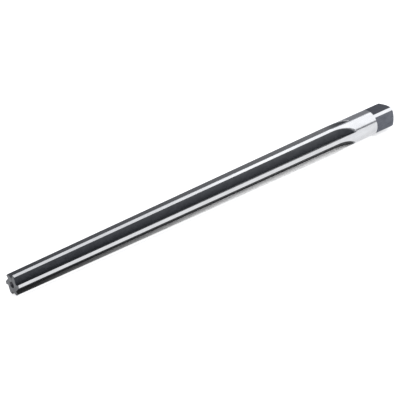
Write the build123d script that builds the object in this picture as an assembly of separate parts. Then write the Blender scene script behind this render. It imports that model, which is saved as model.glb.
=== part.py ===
from build123d import *
import math
import os

# A hand reamer for taper pin holes, one piece of high-speed steel. It has six straight flutes
# that run out near the shank, a short round shank, and a square end that a tap wrench turns.
# It lies as it comes to rest on a table, tip to -X and square to +X: on the edges of two
# teeth at the tip and on the underside of the shank.

# Driving dimensions, in millimetres and degrees
overall_length = 135.0
tip_diameter = 5.9
taper_run = 50.0           # the diameter grows 1 mm in this length
flute_length = 110.5       # full flutes, from the tip to where they start to run out
neck_length = 6.0          # back cone, from the large end of the taper down to the shank
shank_diameter = 8.0
square_across_flats = 6.3
square_length = 8.0
square_turn = 1.6          # from a cutting face to the next corner of the square
end_face_diameter = 6.0
crown_radius = 8.0         # the end is turned to part of a ball around its flat face
tip_bevel = 0.15

flute_count = 6
flute_depth = 1.34         # at the large end; the depth shrinks with the taper
land_width = 1.08          # at the large end, along the circle
margin_width = 0.15        # round strip behind the cutting edge, at the large end
relief_angle = 9.0         # the rest of the land falls away from the circle
gullet_radius = 0.15       # at the foot of the cutting face
cutter_radius = 27.0       # milling cutter, which leaves the curved run-out

centre_angle = 60.0        # both centre holes
tip_centre_mouth = 1.7
tip_centre_pilot = 0.8
tip_centre_depth = 1.9
shank_centre_mouth = 3.35
shank_centre_pilot = 1.6
shank_centre_depth = 3.4

overcut = 1.0              # how far every cutting solid reaches past what it cuts

# Derived sizes
tip_radius = tip_diameter / 2
shank_radius = shank_diameter / 2
radius_slope = 1 / taper_run / 2
large_radius = tip_radius + flute_length * radius_slope
shoulder_at = overall_length - square_length
crown_centre = overall_length - math.sqrt(crown_radius**2 - end_face_diameter**2 / 4)
pitch = 360 / flute_count
land_turn = math.degrees(land_width / large_radius)
margin_turn = math.degrees(margin_width / large_radius)
gap_turn = pitch - land_turn
foot_share = 1 - flute_depth / large_radius


def cone_radius(along):
    """Radius of the taper, counted along the axis from the tip."""
    return tip_radius + along * radius_slope


def on_circle(turn, radius):
    """Section point at an angle from straight up; the angle grows towards -Y."""
    return Vector(-radius * math.sin(math.radians(turn)), radius * math.cos(math.radians(turn)))


def on_crown(radius):
    """Outline point of the crowned end at a radius from the axis."""
    return Vector(crown_centre + math.sqrt(crown_radius**2 - radius**2), 0, radius)


def section_plane(along):
    """Cross-section plane whose local x is +Y and whose local y is +Z."""
    return Plane(origin=(along, 0, 0), x_dir=(0, 1, 0), z_dir=(1, 0, 0))


def relief_direction():
    """Direction of the relieved land in the section, away from its cutting edge."""
    turn = math.radians(90 + margin_turn + relief_angle)
    return Vector(-math.sin(turn), math.cos(turn))


# The turned and ground blank: bevelled tip, taper, back cone, shank and crowned end.
def blank():
    end_face_radius = end_face_diameter / 2
    middle_radius = (shank_radius + end_face_radius) / 2
    crown = ThreePointArc(on_crown(end_face_radius), on_crown(middle_radius), on_crown(shank_radius))
    sides = Polyline(
        on_crown(shank_radius),
        (flute_length + neck_length, 0, shank_radius),
        (flute_length, 0, large_radius),
        (tip_bevel, 0, cone_radius(tip_bevel)),
        (0, 0, tip_radius - tip_bevel),
        (0, 0, 0),
        (overall_length, 0, 0),
        on_crown(end_face_radius),
    )
    return revolve(make_face([crown, sides]), Axis.X)


# A centre hole: the conical mouth that a lathe or grinder centre seats in, and its pilot.
def centre_hole(end_at, inward, mouth, pilot, depth):
    cone_depth = (mouth - pilot) / 2 / math.tan(math.radians(centre_angle / 2))
    drill_point = pilot / 2 / math.tan(math.radians(centre_angle))
    flare = overcut * math.tan(math.radians(centre_angle / 2))
    outline = Polyline(
        (end_at - inward * overcut, 0, 0),
        (end_at - inward * overcut, 0, mouth / 2 + flare),
        (end_at + inward * cone_depth, 0, pilot / 2),
        (end_at + inward * (depth - drill_point), 0, pilot / 2),
        (end_at + inward * depth, 0, 0),
        close=True,
    )
    return revolve(make_face(outline), Axis.X)


# One flute with its cutting face straight up. The face is radial. The cutter's foot follows
# the taper, so that every land keeps its angle, and lifts out along the cutter's own arc.
def flute():
    foot = foot_share * large_radius
    path = Vector(1, 0, foot_share * radius_slope).normalized()
    across = Plane(origin=(flute_length, 0, foot), x_dir=(0, 1, 0), z_dir=path)
    heel = on_circle(-gap_turn, large_radius) - Vector(0, foot)
    floor = heel * (1 + overcut / heel.length)
    top = flute_depth + 2 * overcut
    outline = make_face(Polyline((0, 0), (floor.X, floor.Y), (floor.X, top), (0, top), close=True))
    corner = outline.vertices().sort_by_distance((0, 0))[0]
    outline = across * fillet(corner, gullet_radius)
    straight = extrude(outline, amount=-(flute_length + overcut), dir=path)
    cutter_axis = Axis(across.origin + across.y_dir * cutter_radius, (0, -1, 0))
    lift = math.degrees(math.acos(1 - top / cutter_radius))
    return straight + revolve(outline, cutter_axis, revolution_arc=lift)


# What the relief grinding takes off behind one margin, for a cutting face straight up.
def relief():
    start = -overcut
    edge = on_circle(margin_turn, cone_radius(start))
    outward = on_circle(margin_turn, overcut)
    end = edge + relief_direction() * (land_width + overcut / 2)
    outline = section_plane(start) * make_face(
        Polyline(edge, end, end + outward, edge + outward, close=True)
    )
    length = flute_length + neck_length + overcut
    rise = on_circle(margin_turn, radius_slope)
    return extrude(outline, amount=length, dir=(1, rise.X, rise.Y))


# The four blocks that leave the square, with a shoulder square to the axis.
def square_sides():
    height = shank_radius - square_across_flats / 2 + overcut
    block = Box(square_length + overcut, shank_diameter + overcut, height)
    block = Pos(shoulder_at + (square_length + overcut) / 2, 0, square_across_flats / 2 + height / 2) * block
    return [Rot(X=square_turn + 45 + 90 * side) * block for side in range(4)]


# The two tip edges that touch the table: the heel of one land and the next cutting edge.
def resting_edges():
    radius = cone_radius(tip_bevel)
    edge = on_circle(margin_turn, radius)
    fall = relief_direction()
    nominal_heel = on_circle(land_turn, radius)
    floor = nominal_heel - on_circle(pitch, foot_share * radius)
    gap = nominal_heel - edge
    share = (gap.X * floor.Y - gap.Y * floor.X) / (fall.X * floor.Y - fall.Y * floor.X)
    return edge + fall * share, on_circle(pitch, radius)


# The tilt of the axis once the shank touches too, where the lowest flute has run out. With a
# thin shank the same two teeth touch along their whole length instead.
def resting_tilt(tip_drop):
    lands_drop = tip_drop * large_radius / cone_radius(tip_bevel)
    on_lands = math.atan2(lands_drop - tip_drop, flute_length - tip_bevel)
    floor_middle = foot_share * large_radius / math.cos(math.radians(gap_turn / 2))
    depth = max(0, shank_radius - floor_middle)
    shank_touch = flute_length + math.sqrt(depth * (2 * cutter_radius - depth))
    on_shank = math.atan2(shank_radius - tip_drop, shank_touch - tip_bevel)
    return math.degrees(max(on_lands, on_shank))


# Rolls and tilts the reamer until what touches lies in one level plane.
def lay_down(reamer):
    heel, cutting_edge = resting_edges()
    chord = cutting_edge - heel
    facing = Vector(chord.Y, -chord.X).normalized()
    facing_turn = math.degrees(math.atan2(-facing.X, facing.Y))
    tilt = resting_tilt(heel.dot(facing))
    laid = Rot(Y=-tilt) * (Rot(X=180 - facing_turn) * reamer)
    box = laid.bounding_box()
    return Pos(-box.center().X, -box.center().Y, -box.min.Z) * laid


def build_reamer():
    reamer = blank()
    reamer -= centre_hole(0, 1, tip_centre_mouth, tip_centre_pilot, tip_centre_depth)
    reamer -= centre_hole(
        overall_length, -1, shank_centre_mouth, shank_centre_pilot, shank_centre_depth
    )
    for block in square_sides():
        reamer -= block
    for tooth in range(flute_count):
        reamer -= Rot(X=pitch * tooth) * relief()
    for tooth in range(flute_count):
        reamer -= Rot(X=pitch * tooth) * flute()
    return lay_down(reamer)


os.makedirs("parts", exist_ok=True)
export_step(build_reamer().solid(), "parts/hand_reamer.step")
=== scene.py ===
import math

import bpy
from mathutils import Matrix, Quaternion, Vector


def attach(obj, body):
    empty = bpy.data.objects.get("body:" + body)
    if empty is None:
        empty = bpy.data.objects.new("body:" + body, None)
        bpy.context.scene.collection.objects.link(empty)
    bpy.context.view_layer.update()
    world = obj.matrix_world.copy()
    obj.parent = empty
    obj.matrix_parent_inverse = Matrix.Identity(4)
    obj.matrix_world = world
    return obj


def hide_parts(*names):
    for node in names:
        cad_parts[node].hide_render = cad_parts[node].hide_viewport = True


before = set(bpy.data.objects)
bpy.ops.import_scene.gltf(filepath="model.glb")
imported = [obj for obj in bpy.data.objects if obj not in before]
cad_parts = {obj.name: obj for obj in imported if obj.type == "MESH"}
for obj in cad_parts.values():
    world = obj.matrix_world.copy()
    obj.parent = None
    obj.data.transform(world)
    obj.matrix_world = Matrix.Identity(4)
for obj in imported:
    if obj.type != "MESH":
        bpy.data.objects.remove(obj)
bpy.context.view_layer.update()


# The bar before any flute is cut, in millimetres as on its drawing. The real one is a rod of
# high-speed steel, centre-drilled at both ends and ground between centres: a slow taper, a back
# cone, the round shank, and an end turned to a crown.
overall_length = 135.0
tip_radius = 2.95
tip_bevel = 0.15
taper_rise = 0.01
flute_length = 110.5
neck_length = 6.0
shank_radius = 4.0
crown_radius = 8.0
end_face_radius = 3.0
large_radius = tip_radius + flute_length * taper_rise
centre_half_angle = math.radians(30)
drill_half_angle = math.radians(60)
round_steps = 240
crown_steps = 5

# What is worked last on a surface decides its finish.
GROUND, MILLED, FACED, RELIEVED, SQUARED, TURNED, DRILLED = range(7)


def centre_hole_outline(end_at, inward, mouth, pilot, depth):
    """A 60 degree centre hole as (along, radius) points, from the drill's point to the mouth."""
    cone_depth = (mouth - pilot) / math.tan(centre_half_angle)
    drill_point = pilot / math.tan(drill_half_angle)
    return [
        (end_at + inward * depth, 0.0),
        (end_at + inward * (depth - drill_point), pilot),
        (end_at + inward * cone_depth, pilot),
        (end_at, mouth),
    ]


def crown_outline():
    """The crowned end as (along, radius) points, from the shank in to the flat end face."""
    centre = overall_length - math.sqrt(crown_radius**2 - end_face_radius**2)
    fall = (shank_radius - end_face_radius) / crown_steps
    radii = [shank_radius - fall * step for step in range(crown_steps + 1)]
    return [(centre + math.sqrt(crown_radius**2 - radius**2), radius) for radius in radii]


tip_centre = centre_hole_outline(end_at=0, inward=1, mouth=0.85, pilot=0.4, depth=1.9)
shank_centre = centre_hole_outline(
    end_at=overall_length, inward=-1, mouth=1.675, pilot=0.8, depth=3.4
)
bar_outline = (
    tip_centre
    + [(0, tip_radius - tip_bevel), (tip_bevel, tip_radius + tip_bevel * taper_rise)]
    + [(flute_length, large_radius), (flute_length + neck_length, shank_radius)]
    + crown_outline()
    + shank_centre[::-1]
)
# The finish of the strip that starts at each point of the outline.
bar_finishes = (
    [DRILLED] * 3 + [TURNED] * 2 + [GROUND] * 3 + [TURNED] * (crown_steps + 1) + [DRILLED] * 4
)

outline_mesh = bpy.data.meshes.new("ground_reamer")
outline_mesh.from_pydata([(along, 0, radius) for along, radius in bar_outline], [], [])
outline_mesh.attributes.new("finish", "INT", "POINT").data.foreach_set("value", bar_finishes)
reamer = bpy.data.objects.new("ground_reamer", outline_mesh)
bpy.context.scene.collection.objects.link(reamer)

making = bpy.data.node_groups.new("making_the_reamer", "GeometryNodeTree")
making.interface.new_socket(name="Outline", in_out="INPUT", socket_type="NodeSocketGeometry")
making.interface.new_socket(name="Reamer", in_out="OUTPUT", socket_type="NodeSocketGeometry")
sizes = making.nodes.new("NodeGroupInput")
set_sizes = {}


def size(name, value):
    """Makes one size of the reamer a named input of its tree, and gives the output to build on."""
    kind = "NodeSocketInt" if isinstance(value, int) else "NodeSocketFloat"
    socket = making.interface.new_socket(name=name, in_out="INPUT", socket_type=kind)
    set_sizes[socket.identifier] = value
    return sizes.outputs[name]


def put(tree, kind, feed=(), **options):
    """Adds a node, sets its options, and feeds its inputs with values or with other outputs."""
    made = tree.nodes.new(kind)
    for name, value in options.items():
        setattr(made, name, value)
    for name, value in dict(feed).items():
        if isinstance(value, bpy.types.NodeSocket):
            tree.links.new(value, made.inputs[name])
        else:
            made.inputs[name].default_value = value
    return made


def calc(operation, *terms, tree=making):
    """One step of arithmetic on numbers and outputs."""
    return put(tree, "ShaderNodeMath", enumerate(terms), operation=operation).outputs[0]


def place(along, across, up):
    """A place, size or turn from its three numbers or outputs."""
    return put(making, "ShaderNodeCombineXYZ", {0: along, 1: across, 2: up}).outputs[0]


def mark(shape, finish):
    """Writes the finish on every face of a shape. It stays there through all later cuts."""
    feed = {"Geometry": shape, "Name": "finish", "Value": finish}
    kind = "GeometryNodeStoreNamedAttribute"
    return put(making, kind, feed, data_type="INT", domain="FACE").outputs[0]


def from_outline(value, strip, data_type):
    """What the bar's outline holds at one of its points."""
    feed = {"Geometry": sizes.outputs["Outline"], "Value": value, "Index": strip}
    return put(making, "GeometryNodeSampleIndex", feed, data_type=data_type).outputs[0]


steps_round = size("Round Steps", round_steps)
corners_round = calc("ADD", steps_round, 1)
sheet = put(
    making,
    "GeometryNodeMeshGrid",
    {"Vertices X": len(bar_outline), "Vertices Y": corners_round},
).outputs[0]
order = put(making, "GeometryNodeInputIndex").outputs[0]
# The half keeps a strip's first corner and face from being counted to the strip before it.
counted = calc("ADD", order, 0.5)
corner_strip = calc("FLOOR", calc("DIVIDE", counted, corners_round))
face_strip = calc("FLOOR", calc("DIVIDE", counted, steps_round))
step = calc("SUBTRACT", order, calc("MULTIPLY", corner_strip, corners_round))
turn = calc("MULTIPLY", calc("DIVIDE", step, steps_round), -math.tau)
outline_place = put(making, "GeometryNodeInputPosition").outputs[0]
turned_place = put(
    making,
    "ShaderNodeVectorRotate",
    {"Vector": from_outline(outline_place, corner_strip, "FLOAT_VECTOR"), "Angle": turn},
    rotation_type="X_AXIS",
).outputs[0]
turned = put(
    making, "GeometryNodeSetPosition", {"Geometry": sheet, "Position": turned_place}
).outputs[0]
outline_finish = put(
    making, "GeometryNodeInputNamedAttribute", {"Name": "finish"}, data_type="INT"
).outputs[0]
turned = mark(turned, from_outline(outline_finish, face_strip, "INT"))
seam_width = 0.001
closing = {"Geometry": turned, "Distance": seam_width}
bar = put(making, "GeometryNodeMergeByDistance", closing).outputs[0]


# The square that a tap wrench turns. On the real one four flats are milled across the end of the
# shank. Each stops at a shoulder square to the axis, and the shank's round stays on the corners.
overcut = 1.0
flats_apart = 6.3
square_turn = 1.6
across_flats = size("Across Flats", flats_apart)
square_length = size("Square Length", 8.0)
first_flat = size("First Flat", math.radians(square_turn + 45))
block_depth = shank_radius - flats_apart / 2 + overcut
block_length = calc("ADD", square_length, overcut)
block_size = place(block_length, 2 * shank_radius + overcut, block_depth)
block = put(making, "GeometryNodeMeshCube", {"Size": block_size}).outputs[0]
from_shoulder = calc("SUBTRACT", calc("MULTIPLY", block_length, 0.5), square_length)
block_middle = place(
    calc("ADD", from_shoulder, size("Overall Length", overall_length)),
    0.0,
    calc("MULTIPLY_ADD", across_flats, 0.5, block_depth / 2),
)
block = put(
    making, "GeometryNodeTransform", {"Geometry": block, "Translation": block_middle}
).outputs[0]


def round_the_axis(cutter, count, first_turn=0.0):
    """The same cutter in equal steps round the bar, as a dividing head would index it."""
    stations = put(making, "GeometryNodePoints", {"Count": count}).outputs[0]
    pitch = calc("DIVIDE", math.tau, count)
    indexed = place(calc("MULTIPLY_ADD", order, pitch, first_turn), 0.0, 0.0)
    feed = {"Points": stations, "Instance": cutter, "Rotation": indexed}
    return put(making, "GeometryNodeInstanceOnPoints", feed).outputs[0]


def cut(work, cutters):
    """Takes the cutters away from the work."""
    feed = {"Mesh 1": work, "Mesh 2": cutters}
    kind = "GeometryNodeMeshBoolean"
    return put(making, kind, feed, operation="DIFFERENCE", solver="EXACT").outputs[0]


flats = round_the_axis(mark(block, SQUARED), size("Flats", 4), first_flat)
squared = cut(bar, flats)


# The lands, one behind each cutting edge. The real ones are ground after hardening: a narrow
# round margin is left at the edge, and behind it a flat falls away from the hole's wall.
teeth = 6
land_width = 1.08
margin_width = 0.15
land_turn = land_width / large_radius
margin_turn = margin_width / large_radius
relief_angle = math.radians(9)
relief_reach = land_width + overcut / 2
rounding_steps = 16


def on_circle(turn, radius):
    """A place in the section, turned from straight up, as (across, up)."""
    return Vector((-radius * math.sin(turn), radius * math.cos(turn)))


def swept(path, corners, rounding=0.0):
    """A closed cutter: four section corners, swept along a path, the first of them rounded."""
    section = put(making, "GeometryNodeCurvePrimitiveQuadrilateral", mode="POINTS")
    for number, corner in enumerate(corners, 1):
        section.inputs[f"Point {number}"].default_value = (-corner[0], -corner[1], 0)
    at_first = calc("MULTIPLY", calc("LESS_THAN", order, 0.5), rounding)
    feed = {"Curve": section.outputs[0], "Radius": at_first, "Count": rounding_steps}
    rounded = put(making, "GeometryNodeFilletCurve", feed, mode="POLY").outputs[0]
    level = put(making, "GeometryNodeSetCurveNormal", {"Curve": path}, mode="Z_UP").outputs[0]
    feed = {"Curve": level, "Profile Curve": rounded, "Fill Caps": True}
    return put(making, "GeometryNodeCurveToMesh", feed).outputs[0]


margin_end = on_circle(margin_turn, tip_radius - overcut * taper_rise)
outward = on_circle(margin_turn, overcut)
falling = on_circle(math.pi / 2 + margin_turn + relief_angle, 1)
land_heel = margin_end + falling * relief_reach
relief_corners = [margin_end, margin_end + outward, land_heel + outward, land_heel]
relief_length = flute_length + neck_length
relief_travel = relief_length + overcut
rise = on_circle(margin_turn, taper_rise)
relief_ends = {
    "Start": (-overcut, 0, 0),
    "End": (relief_length, rise[0] * relief_travel, rise[1] * relief_travel),
}
relief_path = put(making, "GeometryNodeCurvePrimitiveLine", relief_ends).outputs[0]
flute_count = size("Flutes", teeth)
reliefs = round_the_axis(mark(swept(relief_path, relief_corners), RELIEVED), flute_count)
relieved = cut(squared, reliefs)


# The flutes. On the real one a formed cutter is fed along the taper and lifts out on its own arc.
# It leaves a radial cutting face, a small round gullet, a flat floor and a curved run-out.
flute_depth = 1.34
lift_radius = 27.0
foot_radius = large_radius - flute_depth
feed_slope = math.atan(foot_radius / large_radius * taper_rise)
flute_top = flute_depth + 2 * overcut
heel = on_circle(land_turn - math.tau / teeth, large_radius) - Vector((0, foot_radius))
floor_end = heel * (1 + overcut / heel.length)
flute_corners = [(0, 0), floor_end, (floor_end[0], flute_top), (0, flute_top)]
cutter_radius = size("Cutter Radius", lift_radius)
run_out_steps = size("Run-out Steps", 48)
full_length = size("Flute Length", flute_length)
lift_turn = math.acos(1 - flute_top / lift_radius)
line = put(making, "GeometryNodeMeshLine", {"Count": calc("ADD", run_out_steps, 2)}).outputs[0]
lifting = calc("MAXIMUM", calc("SUBTRACT", order, 1), 0)
lifted = calc("MULTIPLY", lifting, calc("DIVIDE", lift_turn, run_out_steps))
at_start = calc("LESS_THAN", order, 0.5)
run_in = calc("MULTIPLY", at_start, calc("ADD", full_length, overcut))
feed_along = calc("SUBTRACT", calc("MULTIPLY", calc("SINE", lifted), cutter_radius), run_in)
feed_up = calc("MULTIPLY", calc("SUBTRACT", 1, calc("COSINE", lifted)), cutter_radius)
feed_path = put(
    making,
    "GeometryNodeSetPosition",
    {"Geometry": line, "Position": place(feed_along, 0.0, feed_up)},
).outputs[0]
feed_path = put(making, "GeometryNodeMeshToCurve", {"Mesh": feed_path}).outputs[0]
cutter = swept(feed_path, flute_corners, size("Gullet Radius", 0.15))
# The cutter's side that looks squarely sideways leaves the cutting face.
squarely = 0.9999
facing = put(making, "GeometryNodeInputNormal").outputs[0]
sideways = put(making, "ShaderNodeSeparateXYZ", {0: facing}).outputs["Y"]
is_face = calc("GREATER_THAN", calc("ABSOLUTE", sideways), squarely)
cutter = mark(cutter, calc("MULTIPLY_ADD", is_face, FACED - MILLED, MILLED))
cutter = put(
    making,
    "GeometryNodeTransform",
    {
        "Geometry": cutter,
        "Rotation": (0, -feed_slope, 0),
        "Translation": place(full_length, 0.0, foot_radius),
    },
).outputs[0]
fluted = cut(relieved, round_the_axis(cutter, flute_count))


# The finishes. The real lands, margins and shank are ground bright after hardening. The flutes,
# the square and the ends keep the heat treatment's dark oxide over the cutter's marks. It's
# mottled and rubbed off where the flutes meet the ground surface. In the flutes it also carries
# painted light on the floors that face up, growing towards the shank, and painted shade on the
# floors that face the table.

# Marks to the millimetre, along the reamer and across it in two directions.
patches = (2, 4, 4)
mottles = (0.5, 1.1, 1.1)
wide_shades = (0.25, 0.6, 0.6)
rings = (9.0, 0.5, 0.5)
wheel_lines = (0.4, 7.0, 7.0)

rubbed_steel = (0.55, 0.56, 0.57)


def finish(name, metallic):
    """A steel finish: its material, its shader, and the place on the reamer in millimetres."""
    material = bpy.data.materials.new(name)
    material.use_nodes = True
    tree = material.node_tree
    tree.nodes.clear()
    shader = put(tree, "ShaderNodeBsdfPrincipled", {"Metallic": metallic})
    put(tree, "ShaderNodeOutputMaterial", {"Surface": shader.outputs[0]})
    on_reamer = put(tree, "ShaderNodeAttribute", attribute_name="on_reamer").outputs["Vector"]
    return material, shader, on_reamer


def marks(where, stretch, detail=3.0):
    """Noise stretched by its number of marks to the millimetre in each direction."""
    tree = where.id_data
    laid = put(tree, "ShaderNodeMapping", {"Vector": where, "Scale": stretch}).outputs[0]
    feed = {"Vector": laid, "Scale": 1.0, "Detail": detail, "Roughness": 0.6}
    return put(tree, "ShaderNodeTexNoise", feed).outputs[0]


def spread(value, low, high, from_low=0.3, from_high=0.7):
    """Maps a pattern's value to a range."""
    feed = {"Value": value, 1: from_low, 2: from_high, 3: low, 4: high}
    return put(value.id_data, "ShaderNodeMapRange", feed).outputs[0]


def shades(value, dark, light):
    """A colour between two, picked by a pattern."""
    mixer = put(value.id_data, "ShaderNodeMix", {0: value}, data_type="RGBA")
    for socket, colour in ((mixer.inputs[6], dark), (mixer.inputs[7], light)):
        if isinstance(colour, tuple):
            socket.default_value = (*colour, 1)
        else:
            value.id_data.links.new(colour, socket)
    return mixer.outputs[2]


def wear(shader, colour, roughness, height, depth):
    """Gives the shader its colour and roughness, and its marks as relief of a depth in metres."""
    tree = shader.id_data
    tree.links.new(colour, shader.inputs["Base Color"])
    tree.links.new(roughness, shader.inputs["Roughness"])
    bumped = put(tree, "ShaderNodeBump", {"Height": height, "Distance": depth}).outputs[0]
    tree.links.new(bumped, shader.inputs["Normal"])


def parts_of(where):
    """The place along the axis, and the distance from it."""
    tree = where.id_data
    split = put(tree, "ShaderNodeSeparateXYZ", {0: where}).outputs
    across = calc("MULTIPLY", split[1], split[1], tree=tree)
    radius = calc("SQRT", calc("MULTIPLY_ADD", split[2], split[2], across, tree=tree), tree=tree)
    return split[0], radius


def rubbed(where, reach, run_out_reach):
    """1 at the ground surface, falling to 0 at a reach below it, and patchy."""
    tree = where.id_data
    along, radius = parts_of(where)
    taper = spread(along, tip_radius, large_radius, 0, flute_length)
    neck = spread(along, 0, large_radius - shank_radius, flute_length, flute_length + neck_length)
    below = calc("SUBTRACT", calc("SUBTRACT", taper, neck, tree=tree), radius, tree=tree)
    reach = spread(along, reach, run_out_reach, flute_length, flute_length + neck_length)
    edge = spread(below, 1, 0, 0, reach)
    return calc("MULTIPLY", edge, spread(marks(where, patches), 0.5, 1), tree=tree)


def ground(name, stretch, dark, light, smooth, rough, depth):
    """Bright ground steel: fine wheel marks, and wide faint patches."""
    material, shader, where = finish(name, 1.0)
    lines = marks(where, stretch, detail=4.0)
    colour = shades(spread(marks(where, wide_shades, detail=2.0), 0, 1), dark, light)
    wear(shader, colour, spread(lines, smooth, rough), lines, depth)
    return material


def paint_flute_light_and_shade(where, colour, painted_light_colour, painted_shade_colour):
    """Painted light and shade on the flutes' oxide: lighter on the floors that face up, more
    towards the shank and fading at the run-out, and darker on the floors that face the table.

    The sides are counted by height over distance from the axis, from -1 to 1 on the drawing.
    """
    painted_light_from, painted_light_to = -0.9, 0.5
    painted_shade_from, painted_shade_to = 0.5, 0.85
    painted_light_at_tip, painted_shade_at_most = 0.15, 0.8
    tree = where.id_data
    along, radius = parts_of(where)
    up = put(tree, "ShaderNodeSeparateXYZ", {0: where}).outputs[2]
    height = calc("DIVIDE", up, radius, tree=tree)
    side = calc("POWER", spread(height, 1, 0, painted_light_from, painted_light_to), 2.0, tree=tree)
    growing = spread(along, painted_light_at_tip, 1, 0, flute_length)
    ending = spread(along, 1, 0, flute_length, flute_length + neck_length)
    painted_light_mask = calc("MULTIPLY", side, calc("MULTIPLY", growing, ending, tree=tree), tree=tree)
    painted_shade_mask = spread(height, 0, painted_shade_at_most, painted_shade_from, painted_shade_to)
    return shades(painted_shade_mask, shades(painted_light_mask, colour, painted_light_colour), painted_shade_colour)


def oxide(name, dark, light, smooth, rough, metallic, stretch, depth, reaches, painted_light_and_shade=()):
    """Dark oxide over cutter marks: mottled, duller where it is thicker, bright where rubbed."""
    material, shader, where = finish(name, metallic)
    tree = where.id_data
    mottle = marks(where, mottles)
    edge = rubbed(where, *reaches)
    colour = shades(spread(mottle, 0, 1), dark, light)
    if painted_light_and_shade:
        # Painted light on the flute floors that face up and painted shade on those that face the
        # table.
        colour = paint_flute_light_and_shade(where, colour, *painted_light_and_shade)
    colour = shades(edge, colour, rubbed_steel)
    smoothed = spread(edge, 1, 0.6, 0, 1)
    roughness = calc("MULTIPLY", spread(mottle, rough, smooth), smoothed, tree=tree)
    wear(shader, colour, roughness, marks(where, stretch), depth)
    shader.inputs["Specular IOR Level"].default_value = 0.25
    if metallic < 1:
        wearing = calc("MULTIPLY_ADD", edge, 1 - metallic, metallic, tree=tree)
        tree.links.new(wearing, shader.inputs["Metallic"])
    return material


round_steel = ground(
    "round_ground_steel",
    stretch=rings,
    dark=(0.53, 0.535, 0.545),
    light=(0.59, 0.595, 0.605),
    smooth=0.13,
    rough=0.2,
    depth=6e-7,
)
land_steel = ground(
    "land_ground_steel",
    stretch=wheel_lines,
    dark=(0.53, 0.535, 0.54),
    light=(0.59, 0.595, 0.6),
    smooth=0.15,
    rough=0.22,
    depth=5e-7,
)

# The cutting faces' colour is graded along the axis: painted shade near the tip, growing to a
# painted reflection, very bright, towards the shank.
face_painted_shade_until, face_painted_light_from = 5, 72
face_painted_shade, face_painted_light = (0.08, 0.08, 0.078), (0.96, 0.953, 0.93)
face_steel, face_shader, on_face = finish("face_ground_steel", 1.0)
face_lines = marks(on_face, wheel_lines, detail=4.0)
face_painted_light_mask = spread(parts_of(on_face)[0], 0, 1, face_painted_shade_until, face_painted_light_from)
face_colour = shades(face_painted_light_mask, face_painted_shade, face_painted_light)
wear(face_shader, face_colour, spread(face_lines, 0.38, 0.46), face_lines, depth=5e-7)

flute_oxide = oxide(
    "flute_dark_oxide",
    dark=(0.022, 0.025, 0.031),
    light=(0.037, 0.041, 0.049),
    smooth=0.56,
    rough=0.64,
    metallic=0.0,
    stretch=(5, 0.4, 0.4),
    depth=3e-6,
    reaches=(0.04, 0.28),
    # A painted light grey for the floors that face up, and a painted near black for those that
    # face the table.
    painted_light_and_shade=((0.2, 0.203, 0.207), (0.004, 0.004, 0.005)),
)
flat_oxide = oxide(
    "square_grey_oxide",
    dark=(0.09, 0.097, 0.116),
    light=(0.126, 0.134, 0.156),
    smooth=0.34,
    rough=0.42,
    metallic=0.6,
    stretch=(6, 0.3, 0.3),
    depth=4e-6,
    reaches=(0.02, 0.02),
)
end_oxide = oxide(
    "end_grey_oxide",
    dark=(0.08, 0.083, 0.088),
    light=(0.13, 0.134, 0.14),
    smooth=0.34,
    rough=0.42,
    metallic=1.0,
    stretch=(1, 3, 3),
    depth=2e-6,
    reaches=(0.02, 0.02),
)
hole_oxide = oxide(
    "centre_hole_oxide",
    dark=(0.05, 0.05, 0.055),
    light=(0.08, 0.08, 0.088),
    smooth=0.34,
    rough=0.42,
    metallic=1.0,
    stretch=(6, 0.5, 0.5),
    depth=2e-6,
    reaches=(0.02, 0.02),
)


# How it lies: the roll that rests two cutting teeth at the tip, and the tilt that the thicker
# shank gives it. The reamer is turned from its drawing onto the table, and made one plain piece.
lying_roll = math.radians(142.7765)
lying_tilt = math.radians(0.6216)
tip_lies_at = (-0.067498, 0.0, 0.0027294)
to_metres = (0.001, 0.001, 0.001)
sharp_angle = math.radians(7)
drawn_place = put(making, "GeometryNodeInputPosition").outputs[0]
drawn = put(
    making,
    "GeometryNodeStoreNamedAttribute",
    {"Geometry": fluted, "Name": "on_reamer", "Value": drawn_place},
    data_type="FLOAT_VECTOR",
    domain="POINT",
).outputs[0]
laid = put(
    making,
    "GeometryNodeTransform",
    {
        "Geometry": drawn,
        "Translation": tip_lies_at,
        "Rotation": (lying_roll, -lying_tilt, 0),
        "Scale": to_metres,
    },
).outputs[0]
dressed = put(making, "GeometryNodeRealizeInstances", {"Geometry": laid}).outputs[0]
worked_as = put(
    making, "GeometryNodeInputNamedAttribute", {"Name": "finish"}, data_type="INT"
).outputs[0]
same_number = 0.1
feed = {"Geometry": dressed, "Material": round_steel}
dressed = put(making, "GeometryNodeSetMaterial", feed).outputs[0]
for last_work, material in (
    (MILLED, flute_oxide),
    (FACED, face_steel),
    (RELIEVED, land_steel),
    (SQUARED, flat_oxide),
    (TURNED, end_oxide),
    (DRILLED, hole_oxide),
):
    chosen = calc("COMPARE", worked_as, last_work, same_number)
    feed = {"Geometry": dressed, "Selection": chosen, "Material": material}
    dressed = put(making, "GeometryNodeSetMaterial", feed).outputs[0]
put(making, "NodeGroupOutput", {"Reamer": dressed})

tree_of_reamer = reamer.modifiers.new("making", "NODES")
tree_of_reamer.node_group = making
for identifier, value in set_sizes.items():
    tree_of_reamer[identifier] = value
bpy.context.view_layer.update()
evaluated = reamer.evaluated_get(bpy.context.evaluated_depsgraph_get())
reamer_mesh = bpy.data.meshes.new_from_object(evaluated)
reamer.modifiers.remove(tree_of_reamer)
reamer.data = reamer_mesh
# The sheet that the bar was turned from had no material, so the first slot is empty.
reamer_mesh.materials.pop(index=0)
reamer_mesh.shade_smooth()
reamer_mesh.set_sharp_from_angle(angle=sharp_angle)

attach(reamer, "root")
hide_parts("hand_reamer")


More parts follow.
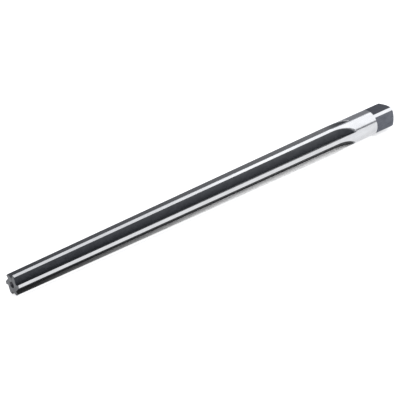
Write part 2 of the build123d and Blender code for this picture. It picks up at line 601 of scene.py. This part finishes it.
# The table: one wide matt white sheet that the reamer lies on. It glows a little, so that it
# stays white and takes hardly a shadow. It isn't part of the reamer.
table_half = 3.0
table_mesh = bpy.data.meshes.new("table")
table_corners = [(-1, -1, 0), (1, -1, 0), (1, 1, 0), (-1, 1, 0)]
table_corners = [Vector(corner) * table_half for corner in table_corners]
table_mesh.from_pydata(table_corners, [], [(0, 1, 2, 3)])
table = bpy.data.objects.new("table", table_mesh)
bpy.context.scene.collection.objects.link(table)
table_white = bpy.data.materials.new("table_white")
table_white.use_nodes = True
table_shader = table_white.node_tree.nodes["Principled BSDF"]
table_shader.inputs["Base Color"].default_value = (0.85, 0.85, 0.85, 1)
table_shader.inputs["Roughness"].default_value = 0.9
table_shader.inputs["Specular IOR Level"].default_value = 0.1
table_shader.inputs["Emission Color"].default_value = (1, 1, 1, 1)
table_shader.inputs["Emission Strength"].default_value = 0.72
table_mesh.materials.append(table_white)


# The studio: an upright softbox in front of the reamer, a smaller one above it, a bright one high
# up and a little behind, and a dim room. The dark line along the shank is the gap between the
# front softbox and the table.
cool = (0.985, 0.99, 1.0)


def softbox(name, at, facing, wide, high, brightness, tint=(1, 1, 1)):
    """A rectangular soft light that hangs at a place and faces a direction."""
    lamp = bpy.data.lights.new(name, "AREA")
    lamp.shape = "RECTANGLE"
    lamp.size = wide
    lamp.size_y = high
    lamp.energy = brightness * math.pi * wide * high
    lamp.color = tint
    hung = bpy.data.objects.new(name, lamp)
    hung.location = at
    hung.rotation_mode = "QUATERNION"
    hung.rotation_quaternion = Vector(facing).to_track_quat("-Z", "Y")
    bpy.context.scene.collection.objects.link(hung)


def towards(azimuth, elevation):
    """A direction from the reamer, counted from +X and from the table in degrees."""
    azimuth, elevation = math.radians(azimuth), math.radians(elevation)
    level = Vector((math.cos(azimuth), math.sin(azimuth), 0)) * math.cos(elevation)
    return level + Vector((0, 0, math.sin(elevation)))


def off_centre(degrees):
    """How far off straight ahead an edge of the front softbox is, for its angle at the reamer."""
    return front_away * math.tan(math.radians(degrees))


front_azimuth = -18
front_away = 0.9
front = towards(front_azimuth, 0)
front_side = towards(front_azimuth + 90, 0)
front_left, front_right = off_centre(-31), off_centre(30)
front_low, front_high = off_centre(11.5), off_centre(58)
front_middle = front * front_away + front_side * (front_left + front_right) / 2
front_middle += Vector((0, 0, (front_low + front_high) / 2))
softbox(
    "front_softbox",
    at=front_middle,
    facing=-front,
    wide=front_right - front_left,
    high=front_high - front_low,
    brightness=1.38,
    tint=cool,
)
top = towards(4, 68)
softbox("top_softbox", at=top, facing=-top, wide=0.66, high=0.46, brightness=0.87, tint=cool)
back = towards(90, 76)
back_away = 1.2
softbox("back_softbox", at=back * back_away, facing=-back, wide=0.6, high=0.6, brightness=2.2)
room = bpy.data.worlds.new("dim_room")
room.use_nodes = True
room.node_tree.nodes["Background"].inputs["Color"].default_value = (0.95, 0.97, 1.05, 1)
room.node_tree.nodes["Background"].inputs["Strength"].default_value = 0.335
bpy.context.scene.world = room
bpy.context.scene.view_settings.view_transform = "Standard"


# The camera, where the photograph was taken from: low over the tip end, rolled so that the reamer
# climbs across the picture.
camera_at = Vector((-0.21976, -0.29364, 0.12019))
camera_aim = Vector((-0.00443, 0.00251, 0.00221))
camera_roll = math.radians(-11.258)
lens = bpy.data.cameras.new("camera")
lens.sensor_fit = "HORIZONTAL"
lens.sensor_width = 36.0
lens.lens = 126.85
lens.clip_start = 0.01
lens.clip_end = 20.0
camera = bpy.data.objects.new("camera", lens)
camera.location = camera_at
camera.rotation_mode = "QUATERNION"
level_view = (camera_aim - camera_at).to_track_quat("-Z", "Y")
camera.rotation_quaternion = level_view @ Quaternion((0, 0, 1), camera_roll)
bpy.context.scene.collection.objects.link(camera)
bpy.context.scene.camera = camera
